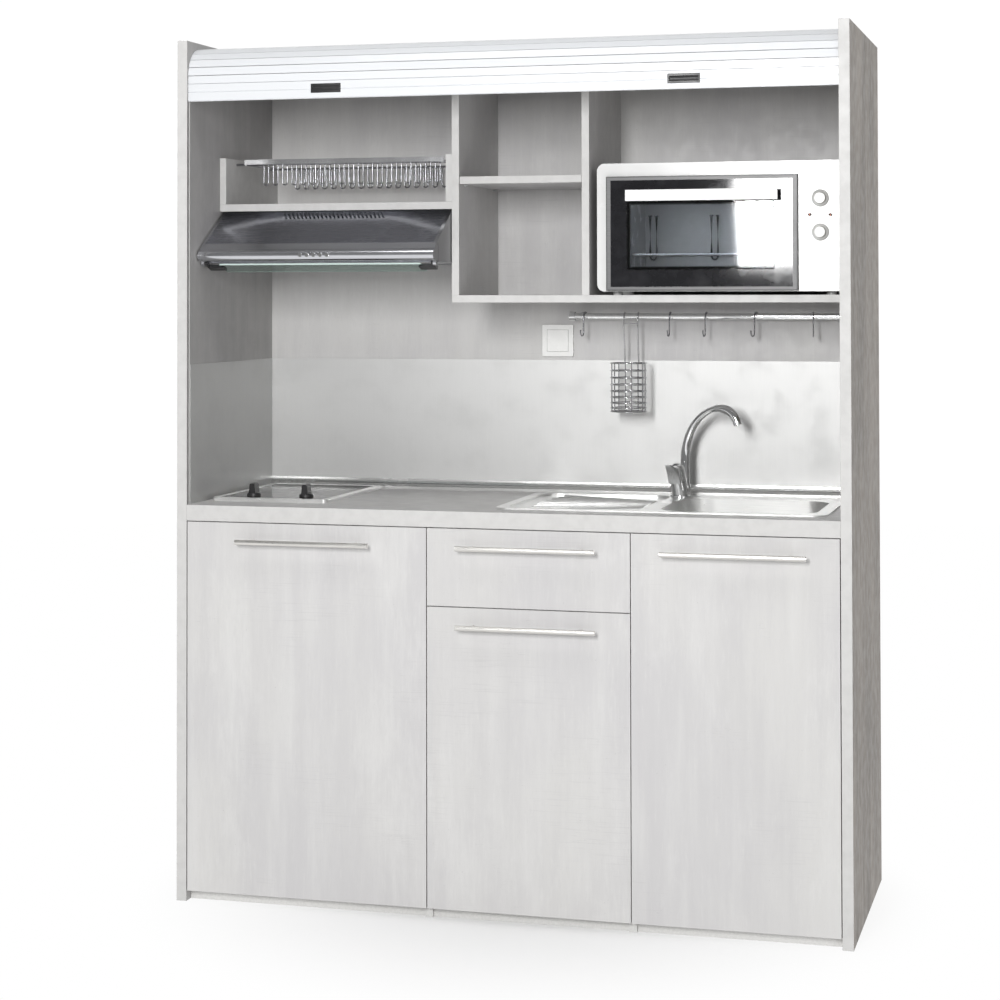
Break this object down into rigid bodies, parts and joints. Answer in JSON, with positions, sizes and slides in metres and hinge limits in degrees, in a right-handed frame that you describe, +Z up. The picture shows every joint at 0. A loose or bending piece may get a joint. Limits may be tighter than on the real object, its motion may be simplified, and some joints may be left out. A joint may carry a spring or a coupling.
{
  "type": "kitchenette unit with sink and hob",
  "caption": "Full height kitchenette cupboard with a sink, hob, hood, plate rack and table oven behind a roll-down slatted shutter, over doors and a drawer.",
  "frame": {"origin": "centre of the unit's footprint on the floor, handles included", "axes": "+X towards the right as seen from the front, +Y from the front to the wall behind the unit, +Z up"},
  "size_m": [1.61, 0.655, 2.06],
  "materials": {
    "laminate": "matt grey laminate with a clouded stone pattern",
    "carcass_board": "light grey melamine board",
    "hardboard": "raw hardboard",
    "steel": "brushed stainless steel",
    "hood_steel": "silver painted sheet metal",
    "aluminium": "satin anodised",
    "chrome": "polished chrome",
    "nickel": "satin nickel",
    "zinc": "zinc plated",
    "clear_glass": "clear glass with a green edge",
    "dark_glass": "smoked glass",
    "black_ceramic": "dark glass ceramic",
    "black_plastic": "black moulded plastic",
    "white_plastic": "white moulded plastic",
    "white_enamel": "white stove enamel",
    "black_enamel": "black gloss",
    "slat_plastic": "satin silver-white slats"
  },
  "bodies": {
    "cabinet": {"side_panel_left": "laminate", "side_panel_right": "laminate", "base_boards": "carcass_board", "cupboard_shelves": "carcass_board", "rear_panel": "hardboard", "back_wall_panel": "laminate", "ceiling_board": "laminate", "worktop": "laminate", "splash_sheets": "steel", "worktop_cove_strip": "aluminium", "shelving_uprights": "laminate", "long_shelf": "laminate", "short_shelf": "laminate", "rack_housing": "laminate", "plate_rack": "chrome", "hood_body": "hood_steel", "hood_trim": "hood_steel", "hood_filter": "aluminium", "hob_body": "steel", "hob_top": "black_ceramic", "sink": "steel", "sink_waste": "steel", "sink_trap": "white_plastic", "tap_body": "chrome", "utensil_rail": "chrome", "switch_frame": "white_plastic", "oven_shell": "white_enamel", "oven_rack": "chrome", "cabinet_fittings": "zinc", "shutter_slats_stored": "slat_plastic"},
    "shutter": {"shutter_rail": "slat_plastic", "shutter_curtain": "slat_plastic", "shutter_grips": "black_plastic"},
    "left_door": {"door_left": "laminate", "left_door_fittings": "nickel"},
    "middle_door": {"door_middle": "laminate", "middle_door_fittings": "nickel"},
    "right_door": {"door_right": "laminate", "right_door_fittings": "nickel"},
    "drawer_unit": {"drawer": "laminate", "drawer_handle": "nickel"},
    "oven_flap": {"oven_door": "black_enamel", "oven_door_glass": "dark_glass"},
    "oven_upper_control": {"oven_knob_upper": "white_plastic"},
    "oven_lower_control": {"oven_knob_lower": "white_plastic"},
    "hob_left_control": {"hob_knob_left": "black_plastic"},
    "hob_right_control": {"hob_knob_right": "black_plastic"},
    "spout": {"tap_spout": "chrome"},
    "mixer_cap": {"tap_cap": "chrome"},
    "mixer_lever": {"tap_lever": "chrome"},
    "visor": {"hood_visor_glass": "clear_glass", "hood_visor_arms": "black_plastic"},
    "hood_key_1": {"hood_button_1": "white_plastic"},
    "hood_key_2": {"hood_button_2": "white_plastic"},
    "hood_key_3": {"hood_button_3": "white_plastic"},
    "hood_key_4": {"hood_button_4": "white_plastic"},
    "hood_key_5": {"hood_button_5": "white_plastic"},
    "light_rocker": {"switch_rocker": "white_plastic"},
    "hook_set": {"s_hooks": "chrome"},
    "basket": {"cutlery_basket": "chrome"}
  },
  "joints": [
    {"name": "shutter_slide", "type": "slide", "parent": "cabinet", "child": "shutter", "axis": [0, 0, -1], "range_m": [0, 0.9655], "deforming": ["shutter_curtain"]},
    {"name": "left_door_hinge", "type": "hinge", "parent": "cabinet", "child": "left_door", "pos_m": [-0.778, -0.2925, 0.465], "axis": [0, 0, -1], "range_deg": [0, 92]},
    {"name": "middle_door_hinge", "type": "hinge", "parent": "cabinet", "child": "middle_door", "pos_m": [-0.178, -0.2925, 0.374], "axis": [0, 0, -1], "range_deg": [0, 92]},
    {"name": "right_door_hinge", "type": "hinge", "parent": "cabinet", "child": "right_door", "pos_m": [0.778, -0.2925, 0.465], "axis": [0, 0, 1], "range_deg": [0, 92]},
    {"name": "drawer_slide", "type": "slide", "parent": "cabinet", "child": "drawer_unit", "axis": [0, -1, 0], "range_m": [0, 0.368]},
    {"name": "oven_door_hinge", "type": "hinge", "parent": "cabinet", "child": "oven_flap", "pos_m": [0.434, -0.0968, 1.456], "axis": [1, 0, 0], "range_deg": [0, 90]},
    {"name": "oven_upper_turn", "type": "hinge", "parent": "cabinet", "child": "oven_upper_control", "pos_m": [0.713, -0.0785, 1.67], "axis": [0, 1, 0], "range_deg": [0, 270]},
    {"name": "oven_lower_turn", "type": "hinge", "parent": "cabinet", "child": "oven_lower_control", "pos_m": [0.713, -0.0785, 1.591], "axis": [0, 1, 0], "range_deg": [0, 270]},
    {"name": "hob_left_turn", "type": "hinge", "parent": "cabinet", "child": "hob_left_control", "pos_m": [-0.6815, -0.1045, 0.953], "axis": [0, 0, -1], "range_deg": [0, 270]},
    {"name": "hob_right_turn", "type": "hinge", "parent": "cabinet", "child": "hob_right_control", "pos_m": [-0.5445, -0.1045, 0.953], "axis": [0, 0, -1], "range_deg": [0, 270]},
    {"name": "spout_swivel", "type": "hinge", "parent": "cabinet", "child": "spout", "pos_m": [0.34147, 0.19465, 0.978], "axis": [0, 0, 1], "range_deg": [-110, 35]},
    {"name": "mixer_turn", "type": "hinge", "parent": "cabinet", "child": "mixer_cap", "pos_m": [0.33128, 0.15663, 0.98853], "axis": [-0.0864, -0.3224, 0.9426], "range_deg": [-50, 50]},
    {"name": "mixer_lift", "type": "hinge", "parent": "mixer_cap", "child": "mixer_lever", "pos_m": [0.32852, 0.14632, 1.0187], "axis": [-0.9659, 0.2588, 0], "range_deg": [0, 22]},
    {"name": "visor_swing", "type": "hinge", "parent": "cabinet", "child": "visor", "pos_m": [-0.4785, -0.2045, 1.524], "axis": [-1, 0, 0], "range_deg": [0, 130]},
    {"name": "hood_key_1_press", "type": "slide", "parent": "cabinet", "child": "hood_key_1", "axis": [0, 1, 0], "range_m": [0, 0.002], "stiffness_N_per_m": 300},
    {"name": "hood_key_2_press", "type": "slide", "parent": "cabinet", "child": "hood_key_2", "axis": [0, 1, 0], "range_m": [0, 0.002], "stiffness_N_per_m": 300},
    {"name": "hood_key_3_press", "type": "slide", "parent": "cabinet", "child": "hood_key_3", "axis": [0, 1, 0], "range_m": [0, 0.002], "stiffness_N_per_m": 300},
    {"name": "hood_key_4_press", "type": "slide", "parent": "cabinet", "child": "hood_key_4", "axis": [0, 1, 0], "range_m": [0, 0.002], "stiffness_N_per_m": 300},
    {"name": "hood_key_5_press", "type": "slide", "parent": "cabinet", "child": "hood_key_5", "axis": [0, 1, 0], "range_m": [0, 0.002], "stiffness_N_per_m": 300},
    {"name": "light_rocker_tilt", "type": "hinge", "parent": "cabinet", "child": "light_rocker", "pos_m": [0, 0.2695, 1.3295], "axis": [1, 0, 0], "range_deg": [-2.5, 2.5]},
    {"name": "hooks_swing", "type": "hinge", "parent": "cabinet", "child": "hook_set", "pos_m": [0.367, 0.2225, 1.392], "axis": [1, 0, 0], "range_deg": [-30, 20]},
    {"name": "basket_swing", "type": "hinge", "parent": "cabinet", "child": "basket", "pos_m": [0.201, 0.2225, 1.392], "axis": [1, 0, 0], "range_deg": [-20, 0]}
  ]
}
